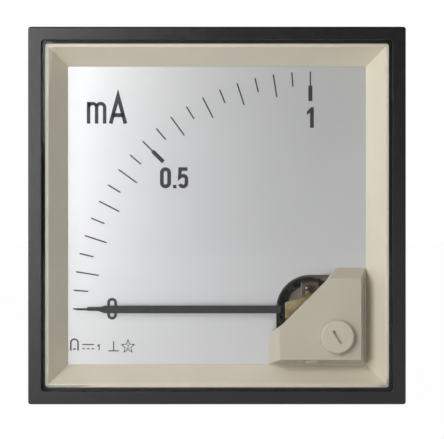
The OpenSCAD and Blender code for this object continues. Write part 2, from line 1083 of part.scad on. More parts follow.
module movement_frame() {
    color("#a7aaac")
        from_pivot()
            difference() {
                union() {
                    slab(yoke_y1, yoke_y1 + 1.8)
                        frame_outline(0);
                    // Rim, pads and ring of full height
                    slab(yoke_y1, frame_y1) {
                        difference() {
                            frame_outline(0);
                            frame_outline(1.4);
                        }
                        circle(rear_foot_at + rear_foot_r + 0.3);
                        for (at = frame_screw_at)
                            translate(at)
                                circle(boss_d / 2);
                        for (at = [[dial_screw_u, dial_screw_v], [-dial_screw_v, -dial_screw_u]])
                            translate(at)
                                circle(2.2);
                    }
                }
                rod(frame_hole_r, yoke_y1 - cut, frame_y1 + cut);
                for (at = frame_screw_at)
                    translate([at[0], 0, at[1]])
                        rod(frame_screw_r + 0.15, yoke_y1 - cut, frame_y1 + cut);
                for (at = [[dial_screw_u, dial_screw_v], [-dial_screw_v, -dial_screw_u]])
                    translate([at[0], 0, at[1]])
                        rod(1 + screw_gap, yoke_y1 - cut, frame_y1 + cut);
                for (angle = [135, 315])
                    turned_by(angle)
                        translate([(yoke_r0 + yoke_r1) / 2, 0, 0])
                            rod(small_screw_r + 0.1, yoke_y1 - cut, frame_y1 + cut);
                for (angle = [45, 225])
                    turned_by(angle)
                        translate([rear_foot_at, 0, 0])
                            rod(small_screw_r, yoke_y1 - cut, frame_y1 + cut);
            }
}

module frame_screws() {
    color("#8c8f92")
        for (at = frame_screw_at)
            from_pivot(at)
                slotted_screw(frame_screw_r, 2.7, yoke_y1 - 1.8, yoke_y1, frame_y1 + 8);
}

// ---- bridges and bearings ----

module front_bridge_outline() {
    for (angle = [45, 225])
        rotate(angle)
            translate([pillar_at, 0])
                circle(1.5);
    rotate(45)
        square([2 * pillar_at, 3], center = true);
    rotate(45)
        square([9, 5], center = true);
    polygon([[-6.75, -2.4], [-6.75, 1.9], [-3.9, 2.7], [0, 3.95], [2.6, 4.4], [3, -1], [-1, -3]]);
}

module front_bridge() {
    color("#c9a53f")
        from_pivot()
            difference() {
                union() {
                    slab(bridge_y0, bridge_y1)
                        front_bridge_outline();
                    rod(boss_r, bridge_y1, boss_y1);
                }
                rod(jewel_screw_r, bridge_y0 - cut, boss_y1 + cut);
                for (angle = [45, 225])
                    turned_by(angle)
                        translate([pillar_at, 0, 0])
                            rod(small_screw_r + screw_gap, bridge_y0 - cut, bridge_y1 + cut);
            }
}

module bridge_pillars() {
    color("#b99b4e")
        for (angle = [45, 225])
            from_pivot()
                turned_by(angle)
                    translate([pillar_at, 0, 0])
                        slab(bridge_y1, yoke_y0)
                            difference() {
                                circle(pillar_r);
                                circle(small_screw_r - 0.2 + screw_gap);
                            }
}

module front_bridge_screws() {
    color("#8c8f92")
        for (angle = [45, 225])
            from_pivot()
                turned_by(angle)
                    translate([pillar_at, 0, 0])
                        slotted_screw(small_screw_r - 0.2, 1.2, bridge_y0 - 0.8, bridge_y0, yoke_y0 + 2.5);
}

module rear_bridge() {
    color("#c9a53f")
        from_pivot()
            difference() {
                union() {
                    slab(rear_bridge_y0, rear_bridge_y1) {
                        rotate(45)
                            square([2 * rear_foot_at, 2 * rear_foot_r], center = true);
                        rotate(45)
                            square([14, 5], center = true);
                        // Ear that the internal lead is soldered to
                        polygon([
                            [ear_at[0] - 0.9, ear_at[1] + 0.9],
                            [ear_at[0] - 0.9, ear_at[1] - 0.9],
                            [-rear_foot_at * 0.707, -rear_foot_at * 0.707 - 1],
                            [-rear_foot_at * 0.707 + 1.5, -rear_foot_at * 0.707 + 1.5]
                        ]);
                    }
                    for (angle = [45, 225])
                        turned_by(angle)
                            translate([rear_foot_at, 0, 0])
                                rod(rear_foot_r, frame_y1, rear_bridge_y1);
                }
                rod(jewel_screw_r, rear_bridge_y0 - cut, rear_bridge_y1 + cut);
                turned_by(spring_end_angle)
                    translate([anchor_at, 0, 0])
                        rod(1, rear_bridge_y0 - cut, rear_bridge_y1 + cut);
                for (angle = [45, 225])
                    turned_by(angle)
                        translate([rear_foot_at, 0, 0])
                            rod(small_screw_r + screw_gap, frame_y1 - cut, rear_bridge_y1 + cut);
            }
}

module rear_bridge_screws() {
    color("#8c8f92")
        for (angle = [45, 225])
            from_pivot()
                turned_by(angle)
                    translate([rear_foot_at, 0, 0])
                        rear_screw(small_screw_r, 1.4, yoke_y1 + 0.5, rear_bridge_y1, rear_bridge_y1 + 0.9);
}

// The jewel sits in the inner end of each jewel screw
module jewel_screw(y_outer, y_inner) {
    outward = sign(y_outer - y_inner);
    low = min(y_outer, y_inner);
    high = max(y_outer, y_inner);
    pocket = y_inner + outward * jewel_len;
    slot = y_outer - outward * 0.6;
    difference() {
        rod(jewel_screw_r, low, high);
        rod(jewel_r, min(pocket, y_inner - outward * cut), max(pocket, y_inner - outward * cut));
        translate([-2 * jewel_screw_r, min(slot, y_outer + outward * cut), -0.25])
            cube([4 * jewel_screw_r, 0.6 + cut, 0.5]);
    }
}

module jewel_screws() {
    color("#b08f3c")
        from_pivot() {
            jewel_screw(bridge_y0 - 1.3, dial_y - 1.1);
            jewel_screw(rear_bridge_y1 + 1.3, coil_y1 + 1.95);
        }
}

module jewel(y_open, outward) {
    turned()
        polygon([
            [0, y_open + outward * 0.65],
            [0.1, y_open + outward * 0.6],
            [0.55, y_open],
            [jewel_r, y_open],
            [jewel_r, y_open + outward * jewel_len],
            [0, y_open + outward * jewel_len]
        ]);
}

module bearing_jewels() {
    color("#b8476a")
        from_pivot() {
            jewel(dial_y - 1.1, -1);
            jewel(coil_y1 + 1.95, 1);
        }
}

module lock_nuts() {
    color("#b08f3c")
        from_pivot()
            for (y = [bridge_y0 - lock_nut_t, rear_bridge_y1])
                difference() {
                    hex(lock_nut_af, y, y + lock_nut_t);
                    rod(jewel_screw_r, y - cut, y + lock_nut_t + cut);
                }
}

module spring_anchor() {
    color("#c2a04c")
        from_pivot()
            turned_by(spring_end_angle) {
                translate([anchor_at - anchor_w / 2, rear_spring_y - 0.2, -anchor_w / 2])
                    cube([anchor_w, rear_bridge_y0 - rear_spring_y, anchor_w]);
                translate([anchor_at, 0, 0])
                    rod(0.5, rear_bridge_y0 - 0.4, anchor_tail_y);
            }
}

module anchor_bush() {
    color("#e8e4d6")
        from_pivot()
            turned_by(spring_end_angle)
                translate([anchor_at, 0, 0])
                    difference() {
                        union() {
                            rod(1, rear_bridge_y0, rear_bridge_y1);
                            rod(1.4, rear_bridge_y1, rear_bridge_y1 + 0.5);
                        }
                        rod(0.5, rear_bridge_y0 - cut, rear_bridge_y1 + 1);
                    }
}

// ---- wiring and terminals ----

// A round wire through a list of points, each step along one axis
module wire(points) {
    for (i = [0:len(points) - 2]) {
        step = points[i + 1] - points[i];
        translate(points[i])
            rotate([0, abs(step[0]) > 0 ? sign(step[0]) * 90 : (step[2] < 0 ? 180 : 0), 0])
                rotate([abs(step[1]) > 0 ? -sign(step[1]) * 90 : 0, 0, 0])
                    cylinder(h = norm(step), r = lead_r, $fn = 24);
        if (i > 0)
            translate(points[i])
                sphere(lead_r, $fn = 24);
    }
}

module lead_to_bridge() {
    end = [pivot + ear_at[0], rear_bridge_y1, -pivot + ear_at[1]];
    color("#b7352c")
        wire([
            [-terminal_dx, lead_y, tag_z + 3],
            [-terminal_dx, lead_y, end[2]],
            [end[0], lead_y, end[2]],
            end
        ]);
}

module lead_to_anchor() {
    along = anchor_at * cos(spring_end_angle);
    end = [pivot + along, anchor_tail_y, -pivot + along];
    color("#2d4f8c")
        wire([
            [terminal_dx, lead_y, tag_z + 3],
            [terminal_dx, lead_y, end[2]],
            [end[0], lead_y, end[2]],
            end
        ]);
}

module solder_tags() {
    color("#c8c6bd")
        for (x = [-terminal_dx, terminal_dx])
            translate([x, 0, terminal_z])
                slab(floor_y - tag_t, floor_y)
                    difference() {
                        union() {
                            circle(4);
                            translate([-1.6, -tag_len])
                                square([3.2, tag_len]);
                        }
                        circle(stud_r + washer_gap);
                        translate([0, -tag_len + 1.4])
                            circle(0.7);
                    }
}

module on_studs() {
    for (x = [-terminal_dx, terminal_dx])
        translate([x, 0, terminal_z])
            children();
}

// Each stud has its thread's mean radius where nuts engage it, and its full radius on the free end
module terminal_studs() {
    head_y0 = floor_y - tag_t - stud_head_t;
    free_y0 = nuts_end_y + 0.3;
    end_y = nuts_end_y + stud_free_len;
    color("#c5c1b0")
        on_studs() {
            hex(nut_af, head_y0, head_y0 + stud_head_t);
            turned()
                polygon([
                    [0, head_y0 + 1],
                    [stud_mean_r, head_y0 + 1],
                    [stud_mean_r, free_y0],
                    [stud_r, free_y0],
                    [stud_r, end_y - stud_chamfer],
                    [stud_r - stud_chamfer, end_y],
                    [0, end_y]
                ]);
        }
}

module terminal_washers() {
    color("#c5c1b0")
        on_studs()
            slab(body_depth, body_depth + washer_t)
                difference() {
                    circle(4.5);
                    circle(stud_r + washer_gap);
                }
}

module terminal_nuts() {
    low_y = body_depth + washer_t;
    color("#c5c1b0")
        on_studs()
            for (y = [low_y, low_y + nut_t + clamp_t])
                difference() {
                    hex(nut_af, y, y + nut_t);
                    rod(stud_mean_r, y - cut, y + nut_t + cut);
                }
}

module wire_clamps() {
    y = body_depth + washer_t + nut_t;
    color("#c5c1b0")
        on_studs()
            difference() {
                union() {
                    translate([-5.2, y, -4.5])
                        cube([10.4, clamp_t, 9]);
                    for (x = [-5.2, 4.4])
                        translate([x, y - 1.4, -4.5])
                            cube([0.8, 1.4 + clamp_t, 9]);
                }
                rod(stud_r + washer_gap, y - cut, y + clamp_t + cut);
            }
}

housing();
bezel_frame();
window_glass();
inner_surround();
dial_plate();
dial_pillars();
dial_screws();
corner_cover();
zero_button();
zero_lever();
lever_ring();
front_hairspring();
rear_hairspring();
pointer();
balance_cross();
balance_weights();
spring_collets();
front_staff();
rear_staff();
coil_former();
coil_winding();
core_magnet();
core_supports();
yoke_ring();
yoke_screws();
movement_frame();
frame_screws();
front_bridge();
bridge_pillars();
front_bridge_screws();
rear_bridge();
rear_bridge_screws();
jewel_screws();
bearing_jewels();
lock_nuts();
spring_anchor();
anchor_bush();
lead_to_bridge();
lead_to_anchor();
solder_tags();
terminal_studs();
terminal_washers();
terminal_nuts();
wire_clamps();
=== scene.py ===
import json
import math

import bmesh
import bpy
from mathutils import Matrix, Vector


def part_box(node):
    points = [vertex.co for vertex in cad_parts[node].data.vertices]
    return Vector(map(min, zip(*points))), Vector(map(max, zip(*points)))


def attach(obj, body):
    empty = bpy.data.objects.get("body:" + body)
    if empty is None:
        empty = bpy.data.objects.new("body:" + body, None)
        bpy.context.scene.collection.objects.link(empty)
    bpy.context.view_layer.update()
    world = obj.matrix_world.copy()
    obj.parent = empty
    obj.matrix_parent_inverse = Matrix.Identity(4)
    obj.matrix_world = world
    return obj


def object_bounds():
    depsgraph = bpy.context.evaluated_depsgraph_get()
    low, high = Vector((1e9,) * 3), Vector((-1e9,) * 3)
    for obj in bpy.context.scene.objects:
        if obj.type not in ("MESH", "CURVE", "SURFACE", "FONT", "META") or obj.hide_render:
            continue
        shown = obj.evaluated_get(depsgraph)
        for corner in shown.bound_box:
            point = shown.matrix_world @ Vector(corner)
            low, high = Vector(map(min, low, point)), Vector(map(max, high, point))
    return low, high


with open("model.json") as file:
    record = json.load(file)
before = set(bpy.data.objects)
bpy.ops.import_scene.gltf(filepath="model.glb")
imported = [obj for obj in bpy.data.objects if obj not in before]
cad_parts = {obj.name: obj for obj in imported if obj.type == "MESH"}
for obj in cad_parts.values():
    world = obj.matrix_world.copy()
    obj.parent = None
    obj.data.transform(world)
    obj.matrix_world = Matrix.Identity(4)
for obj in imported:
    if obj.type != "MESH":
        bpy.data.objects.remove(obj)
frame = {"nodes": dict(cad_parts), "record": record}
cad_low, cad_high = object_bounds()

MM = 0.001
BODY = "meter_body"
MOVING_BODY = "moving_element"
WHITE = (1.0, 1.0, 1.0, 1.0)


# ---- camera ----

CAMERA_DISTANCE = 0.400
LENS_MM = 127.7
LENS_SHIFT = (0.0113, -0.0090)


def make_camera():
    """A long lens in front of the middle of the dial."""
    data = bpy.data.cameras.new("camera")
    data.sensor_width = 36.0
    data.lens = LENS_MM
    data.shift_x, data.shift_y = LENS_SHIFT
    data.clip_start = 0.01
    data.clip_end = 20.0
    cam = bpy.data.objects.new("camera", data)
    cam.location = (0.0, cad_low[1] - CAMERA_DISTANCE, 0.0)
    cam.rotation_euler = (math.radians(90), 0.0, 0.0)
    bpy.context.scene.collection.objects.link(cam)
    bpy.context.scene.camera = cam


make_camera()


# ---- node helpers ----

# Sockets of the colour mixer: its factor, its two colours and its result
MIX_FACTOR, MIX_A, MIX_B, MIX_RESULT = 0, 6, 7, 2


class Shader:
    """A small builder for node materials. Positions are in millimetres of the object's own frame."""

    def __init__(self, name):
        self.mat = bpy.data.materials.new(name)
        self.mat.use_nodes = True
        self.tree = self.mat.node_tree
        self.tree.nodes.clear()
        self.out = self.add("ShaderNodeOutputMaterial")
        coords = self.add("ShaderNodeTexCoord")
        scaled = self.add("ShaderNodeVectorMath", operation="SCALE")
        scaled.inputs["Scale"].default_value = 1 / MM
        self.link(coords.outputs["Object"], scaled.inputs[0])
        self.place = scaled.outputs[0]

    def add(self, kind, **settings):
        node = self.tree.nodes.new(kind)
        for key, value in settings.items():
            setattr(node, key, value)
        return node

    def link(self, a, b):
        self.tree.links.new(a, b)

    def stretched(self, scale):
        """The place, scaled along each axis, for marks that run one way."""
        node = self.add("ShaderNodeMapping")
        node.inputs["Scale"].default_value = scale
        self.link(self.place, node.inputs["Vector"])
        return node.outputs[0]

    def noise(self, scale, detail=2.0, place=None):
        """Noise with so many features to a millimetre."""
        node = self.add("ShaderNodeTexNoise")
        node.inputs["Scale"].default_value = scale
        node.inputs["Detail"].default_value = detail
        self.link(place or self.place, node.inputs["Vector"])
        return node.outputs["Fac"]

    def ramp(self, value, low, high, from_low=0.3, from_high=0.7):
        """Spreads the middle of a noise's range over low to high."""
        node = self.add("ShaderNodeMapRange")
        node.inputs["From Min"].default_value = from_low
        node.inputs["From Max"].default_value = from_high
        node.inputs["To Min"].default_value = low
        node.inputs["To Max"].default_value = high
        self.link(value, node.inputs["Value"])
        return node.outputs[0]

    def mix(self, factor, a, b):
        node = self.add("ShaderNodeMix", data_type="RGBA")
        for socket, colour in ((MIX_A, a), (MIX_B, b)):
            node.inputs[socket].default_value = (*colour, 1.0)
        self.link(factor, node.inputs[MIX_FACTOR])
        return node.outputs[MIX_RESULT]

    def math(self, operation, a, b):
        node = self.add("ShaderNodeMath", operation=operation)
        for i, value in enumerate((a, b)):
            if isinstance(value, float):
                node.inputs[i].default_value = value
            else:
                self.link(value, node.inputs[i])
        return node.outputs[0]

    def bump(self, height, distance, edge=0.0):
        """Bump of so many millimetres, over edges rounded by so many millimetres."""
        node = self.add("ShaderNodeBump")
        node.inputs["Strength"].default_value = 1.0
        node.inputs["Distance"].default_value = distance * MM
        self.link(height, node.inputs["Height"])
        if edge:
            bevel = self.add("ShaderNodeBevel", samples=4)
            bevel.inputs["Radius"].default_value = edge * MM
            self.link(bevel.outputs[0], node.inputs["Normal"])
        return node.outputs[0]

    def principled(self, colour, rough, normal, metallic=0.0, specular=0.5, coat=0.0):
        node = self.add("ShaderNodeBsdfPrincipled")
        self.link(colour, node.inputs["Base Color"])
        if isinstance(rough, float):
            node.inputs["Roughness"].default_value = rough
        else:
            self.link(rough, node.inputs["Roughness"])
        node.inputs["Metallic"].default_value = metallic
        node.inputs["Specular IOR Level"].default_value = specular
        node.inputs["Coat Weight"].default_value = coat
        self.link(normal, node.inputs["Normal"])
        self.link(node.outputs[0], self.out.inputs[0])
        return node

    def blend(self, factor, a, b):
        """Shows shader b in the share that factor gives, and shader a in the rest."""
        node = self.add("ShaderNodeMixShader")
        self.link(factor, node.inputs[0])
        self.link(a.outputs[0], node.inputs[1])
        self.link(b.outputs[0], node.inputs[2])
        self.link(node.outputs[0], self.out.inputs[0])


def shaded(colour, share):
    """A colour made darker or lighter by a share of itself."""
    return tuple(min(1.0, c * (1.0 + share)) for c in colour)


def moulded(name, colour, rough, grain=0.006, grain_scale=5.0, specular=0.5, edge=0.15, tint=0.06):
    """Moulded plastic: fine grain, slightly uneven gloss and softly rounded edges."""
    s = Shader(name)
    fine = s.noise(grain_scale, 3.0)
    broad = s.noise(0.12)
    shade = s.mix(s.ramp(broad, 0.0, 1.0), shaded(colour, -tint), shaded(colour, tint))
    gloss = s.ramp(s.noise(0.6, 4.0), rough - 0.05, rough + 0.05)
    s.principled(shade, gloss, s.bump(fine, grain, edge), specular=specular)
    return s.mat


def metal(name, colour, rough, brushed=(1.0, 1.0, 1.0), grain=0.003, stain=0.15):
    """Bare metal with fine tool marks and slight staining."""
    s = Shader(name)
    marks = s.noise(6.0, 3.0, s.stretched(brushed))
    stains = s.noise(0.7, 4.0)
    shade = s.mix(s.ramp(stains, 0.0, 1.0), shaded(colour, -stain), colour)
    gloss = s.ramp(marks, rough - 0.06, rough + 0.08)
    s.principled(shade, gloss, s.bump(marks, grain, edge=0.05), metallic=1.0)
    return s.mat


def oxidised(name, colour):
    """Iron or magnet metal under a dull brown coat."""
    s = Shader(name)
    cloud = s.noise(0.5, 4.0)
    shade = s.mix(s.ramp(cloud, 0.0, 1.0), shaded(colour, -0.3), colour)
    fine = s.noise(5.0, 3.0)
    s.principled(shade, s.ramp(fine, 0.42, 0.58), s.bump(fine, 0.006, edge=0.08), metallic=0.2)
    return s.mat


def lacquered(name, colour, rough, grain=0.002, metallic=0.0):
    """Sprayed satin paint on flat metal."""
    s = Shader(name)
    orange_peel = s.noise(9.0)
    cloud = s.noise(0.05)
    shade = s.mix(s.ramp(cloud, 0.0, 1.0), shaded(colour, -0.03), colour)
    gloss = s.ramp(s.noise(1.5, 3.0), rough - 0.03, rough + 0.03)
    s.principled(shade, gloss, s.bump(orange_peel, grain), metallic=metallic)
    return s.mat


def window_glass():
    """Clear flat glass that lets the lamps' light through, with a faint reflection."""
    s = Shader("window_glass_clear")
    clear = s.add("ShaderNodeBsdfTransparent")
    clear.inputs["Color"].default_value = (0.988, 0.988, 0.994, 1.0)
    shine = s.add("ShaderNodeBsdfGlossy")
    s.link(s.ramp(s.noise(0.05), 0.01, 0.03), shine.inputs["Roughness"])
    fresnel = s.add("ShaderNodeFresnel")
    fresnel.inputs["IOR"].default_value = 1.45
    paths = s.add("ShaderNodeLightPath")
    not_shadow = s.math("SUBTRACT", 1.0, paths.outputs["Is Shadow Ray"])
    mirrored = s.math("MULTIPLY", fresnel.outputs[0], not_shadow)
    s.blend(s.math("MULTIPLY", mirrored, 0.35), clear, shine)
    return s.mat


def coil_wire():
    """Layers of fine enamelled wire laid side by side, coloured with painted shade between the turns."""
    s = Shader("coil_wire")
    turns = s.add("ShaderNodeTexWave", wave_type="BANDS", bands_direction="X", wave_profile="SIN")
    turns.inputs["Scale"].default_value = 1.6
    turns.inputs["Distortion"].default_value = 0.4
    s.link(s.place, turns.inputs["Vector"])
    wire = turns.outputs["Fac"]
    # The colour runs dark in the grooves between turns and light on each turn's crest: painted shade and
    # painted highlight over the bump. The dark brown is partly the enamel's own colour and partly
    # painted shade for the winding's place deep in the movement.
    shade = s.mix(wire, (0.055, 0.028, 0.018), (0.19, 0.095, 0.055))
    s.principled(shade, 0.35, s.bump(wire, 0.04), metallic=0.3)
    return s.mat


def weight_metal():
    """Metal of the balance weights, coloured near-black as painted shade for their place deep in the
    movement.
    """
    s = Shader("balance_weight_painted_shade")
    spots = s.noise(3.0, 3.0)
    # Near-black colour with random spots: painted shade standing in for the dark inside the movement.
    shade = s.mix(s.ramp(spots, 0.0, 1.0), (0.035, 0.032, 0.03), (0.10, 0.09, 0.08))
    s.principled(shade, 0.4, s.bump(spots, 0.01, edge=0.1), metallic=0.6)
    return s.mat


def jewel():
    """Polished synthetic ruby of the bearings."""
    s = Shader("bearing_jewel_red")
    cloud = s.noise(2.0)
    shade = s.mix(s.ramp(cloud, 0.0, 1.0), (0.45, 0.02, 0.07), (0.7, 0.08, 0.16))
    s.principled(shade, 0.08, s.bump(cloud, 0.001), coat=0.5)
    return s.mat


MATERIALS = {
    "black_moulding": moulded(
        "housing_black", (0.018, 0.019, 0.020), 0.42, grain=0.012, grain_scale=3.0, edge=0.3),
    "bezel_black": moulded(
        "bezel_black_grain", (0.002, 0.0024, 0.0035), 0.34,
        grain=0.030, grain_scale=3.0, specular=0.55, edge=0.2),
    "clear_glass": window_glass(),
    # Surround, cover and button are one cream plastic; the surround's colour is lighter than the cover's
    # and button's as painted light, standing in for light bounced up onto its slopes from below.
    "cream_plastic": moulded(
        "surround_cream_painted_light", (0.85, 0.795, 0.64), 0.38, grain=0.003, edge=0.25, tint=0.02),
    "cream_cover": moulded("cover_cream", (0.62, 0.57, 0.45), 0.36, grain=0.003, edge=0.3, tint=0.02),
    "cream_button": moulded("button_cream", (0.64, 0.59, 0.48), 0.34, grain=0.002, edge=0.2, tint=0.02),
    "dial_white": lacquered("dial_satin", (0.68, 0.685, 0.68), 0.36, metallic=0.55),
    "brass_bright": metal("brass_turned", (0.68, 0.50, 0.20), 0.3, stain=0.2),
    # The bridge's brass is darker than the turned brass as painted shade for its place inside the
    # movement; its heavy mottle is partly tarnish and partly painted light on the lobe.
    "bridge_brass": metal("brass_bridge_painted_shade", (0.44, 0.36, 0.18), 0.45, brushed=(1.0, 1.0, 8.0), stain=0.5),
    "spring_bronze": metal("spring_strip", (0.75, 0.50, 0.22), 0.25, stain=0.1),
    "steel_screws": metal("steel_bright", (0.55, 0.56, 0.57), 0.3, stain=0.2),
    "pointer_black": lacquered("pointer_lacquer", (0.007, 0.009, 0.011), 0.5, grain=0.003),
    "weight_metal": weight_metal(),
    # The former's aluminium is coloured far darker than bare aluminium as painted shade for its place
    # deep in the movement.
    "former_aluminium": metal("former_aluminium", (0.34, 0.33, 0.30), 0.5, brushed=(1.0, 6.0, 1.0)),
    "coil_copper": coil_wire(),
    "magnet_alloy": oxidised("magnet_coated", (0.36, 0.31, 0.23)),
    "soft_iron": oxidised("yoke_coated", (0.33, 0.29, 0.22)),
    "frame_zinc": metal("frame_cast", (0.42, 0.42, 0.43), 0.5, grain=0.02, stain=0.25),
    "nickel_plate": metal("nickel_satin", (0.66, 0.63, 0.56), 0.28, stain=0.1),
    "jewel_ruby": jewel(),
    "bush_white": moulded("bush_moulded", (0.75, 0.72, 0.62), 0.4, grain=0.002),
    "insulation_red": moulded("lead_red", (0.42, 0.03, 0.02), 0.4, grain=0.004),
    "insulation_blue": moulded("lead_blue", (0.03, 0.08, 0.30), 0.4, grain=0.004),
}
INK = lacquered("ink_black", (0.028, 0.029, 0.031), 0.5)
INK_GREY = lacquered("ink_dark_grey", (0.06, 0.062, 0.065), 0.5)

slot_of = {part["node"]: part["material_slot"] for part in frame["record"]["subparts"]}
for name, obj in frame["nodes"].items():
    for slot in obj.material_slots:
        slot.material = MATERIALS[slot_of[name]]


# ---- pieces made here ----

def add_piece(name, verts, faces, material, body):
    """A piece from corners in metres, with its faces turned outward, that rides on a body."""
    mesh = bpy.data.meshes.new(name)
    mesh.from_pydata(verts, [], faces)
    shape = bmesh.new()
    shape.from_mesh(mesh)
    bmesh.ops.recalc_face_normals(shape, faces=shape.faces)
    shape.to_mesh(mesh)
    shape.free()
    mesh.materials.append(material)
    obj = bpy.data.objects.new(name, mesh)
    bpy.context.scene.collection.objects.link(obj)
    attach(obj, body)


class Print:
    """Flat closed shapes drawn in X and Z between two depths in Y, in millimetres."""

    def __init__(self, depths):
        self.depths = depths
        self.verts = []
        self.faces = []

    def polygon(self, points):
        """A flat shape with its corners in order. A simple outline without holes."""
        n = len(points)
        start = len(self.verts)
        for y in self.depths:
            self.verts += [(x * MM, y * MM, z * MM) for x, z in points]
        self.faces.append([start + i for i in range(n)])
        self.faces.append([start + n + i for i in reversed(range(n))])
        for i in range(n):
            j = (i + 1) % n
            self.faces.append([start + i, start + n + i, start + n + j, start + j])

    def ribbon(self, points, width, closed=False):
        """A line of even width with mitred corners."""
        n = len(points)
        left = []
        right = []
        for i, here in enumerate(points):
            before = points[i - 1] if i or closed else None
            after = points[(i + 1) % n] if i < n - 1 or closed else None
            normals = []
            for a, b in ((before, here), (here, after)):
                if a is None or b is None:
                    continue
                dx, dz = b[0] - a[0], b[1] - a[1]
                size = math.hypot(dx, dz)
                normals.append((-dz / size, dx / size))
            nx = sum(v[0] for v in normals) / len(normals)
            nz = sum(v[1] for v in normals) / len(normals)
            reach = width / 2 / (nx * nx + nz * nz)
            left.append((here[0] + nx * reach, here[1] + nz * reach))
            right.append((here[0] - nx * reach, here[1] - nz * reach))
        for i in range(n if closed else n - 1):
            j = (i + 1) % n
            self.polygon([left[i], left[j], right[j], right[i]])

    def bar(self, x0, z0, x1, z1):
        self.polygon([(x0, z0), (x1, z0), (x1, z1), (x0, z1)])

    def finish(self, name, material):
        add_piece(name, self.verts, self.faces, material, BODY)


def arc(cx, cz, r, a0, a1, steps=12):
    """Points along an arc, angles in degrees, anticlockwise from +X."""
    angles = [math.radians(a0 + (a1 - a0) * i / steps) for i in range(steps + 1)]
    return [(cx + r * math.cos(a), cz + r * math.sin(a)) for a in angles]


# ---- print on the dial ----

DIAL_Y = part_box("dial_plate")[0][1] / MM
INK_DEPTHS = (DIAL_Y - 0.02, DIAL_Y + 0.01)
staff_low, staff_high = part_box("front_staff")
PIVOT_X = (staff_low[0] + staff_high[0]) / 2 / MM
PIVOT_Z = (staff_low[2] + staff_high[2]) / 2 / MM

# The scale: its outer radius, its zero mark's angle, its sweep and its marks
SCALE_R = 62.0
ZERO_ANGLE = 180.0
SWEEP = 90.0
DIVISIONS = 20
PER_MAIN_MARK = 10
LINE_W = 0.36
LONG_MARK = 6.0
SHORT_MARK = 3.8
# A main mark is a fine line with a bold foot
MAIN_FINE_END = 3.7
MAIN_BOLD_END = 7.7
MAIN_BOLD_W = 1.07


def radial(ink, angle, r0, r1, width):
    """A straight mark that points at the pivot."""
    a = math.radians(angle)
    ux, uz = math.cos(a), math.sin(a)
    px, pz = -uz * width / 2, ux * width / 2
    corners = ((r0, 1), (r1, 1), (r1, -1), (r0, -1))
    ink.polygon([(PIVOT_X + r * ux + s * px, PIVOT_Z + r * uz + s * pz) for r, s in corners])


def scale_marks():
    ink = Print(INK_DEPTHS)
    for i in range(DIVISIONS + 1):
        angle = ZERO_ANGLE - SWEEP / DIVISIONS * i
        if i % PER_MAIN_MARK == 0:
            radial(ink, angle, SCALE_R - MAIN_FINE_END, SCALE_R, LINE_W)
            radial(ink, angle, SCALE_R - MAIN_BOLD_END, SCALE_R - MAIN_FINE_END, MAIN_BOLD_W)
        else:
            length = LONG_MARK if i % 2 == 0 else SHORT_MARK
            radial(ink, angle, SCALE_R - length, SCALE_R, LINE_W)
    ink.finish("scale_marks", INK)


def zero_digit(ink, x0, x1, z0, z1, stroke):
    """A narrow 0 with round ends that fills the given box."""
    r = (x1 - x0 - stroke) / 2
    cx = (x0 + x1) / 2
    top = z1 - stroke / 2 - r
    low = z0 + stroke / 2 + r
    ink.ribbon(arc(cx, top, r, 0, 180) + arc(cx, low, r, 180, 360), stroke, closed=True)


def five_digit(ink, x0, x1, z0, z1, stroke):
    """A 5 with a flag, a short spine and a round bowl that fills the given box."""
    h = stroke / 2
    left, right, base, top = x0 + h, x1 - h, z0 + h, z1 - h
    r = (right - left) / 2
    cx = left + r
    waist = base + (top - base) * 0.62
    points = [
        (right + h * 0.6, top),
        (left + 0.1, top),
        (left, waist - 0.35),
        (left + 0.3, waist - 0.1),
    ]
    points += arc(cx, waist - r, r, 88, 0, 8)
    points += arc(cx, base + r, r, 0, -165, 14)
    ink.ribbon(points, stroke)


def one_digit(ink, right, low, high, stroke, reach, nick):
    """A 1 whose flag reaches to the left; nick holds how far its corners lie under the top."""
    left = right - stroke
    shoulder, outer, inner, foot = nick
    ink.polygon([
        (left, low),
        (right, low),
        (right, high),
        (left + shoulder, high),
        (left - reach, high - outer),
        (left - reach, high - inner),
        (left, high - foot),
    ])


def numerals():
    """0.5 under the middle of the arc, 1 under its end and 0 beside its start."""
    ink = Print(INK_DEPTHS)
    low, high = 7.1, 12.6
    zero_digit(ink, -14.9, -12.0, low, high, 1.0)
    ink.bar(-11.5, low, -10.6, low + 0.9)
    five_digit(ink, -10.2, -7.5, low, high, 0.95)
    one_digit(ink, 25.3, 22.9, 28.3, 1.0, 0.8, (0.3, 1.1, 2.1, 1.4))
    zero_digit(ink, -28.7, -26.1, -27.2, -21.5, 0.75)
    ink.finish("scale_numerals", INK)


def unit_letters():
    """The unit, mA."""
    ink = Print(INK_DEPTHS)
    foot = 24.0
    stroke = 0.9
    stem_left, stem_top = -34.0, 29.7
    shoulder_z, shoulder_r = 28.2, 1.05
    ink.bar(stem_left, foot, stem_left + stroke, stem_top)
    for i in range(2):
        cx = stem_left + stroke / 2 + shoulder_r * (2 * i + 1)
        ink.ribbon(arc(cx, shoulder_z, shoulder_r, 170, 0) + [(cx + shoulder_r, foot)], stroke)
    apex_x, apex_z, half_spread = -25.85, 31.2, 1.93
    ink.ribbon([(apex_x - half_spread, foot), (apex_x, apex_z), (apex_x + half_spread, foot)], 1.0)
    ink.bar(apex_x - 1.35, 25.7, apex_x + 1.35, 26.75)
    ink.finish("unit_letters", INK)


def star_points(cx, cz, outer, inner):
    points = []
    for i in range(10):
        r = outer if i % 2 == 0 else inner
        a = math.radians(90 + 36 * i)
        points.append((cx + r * math.cos(a), cz + r * math.sin(a)))
    return points


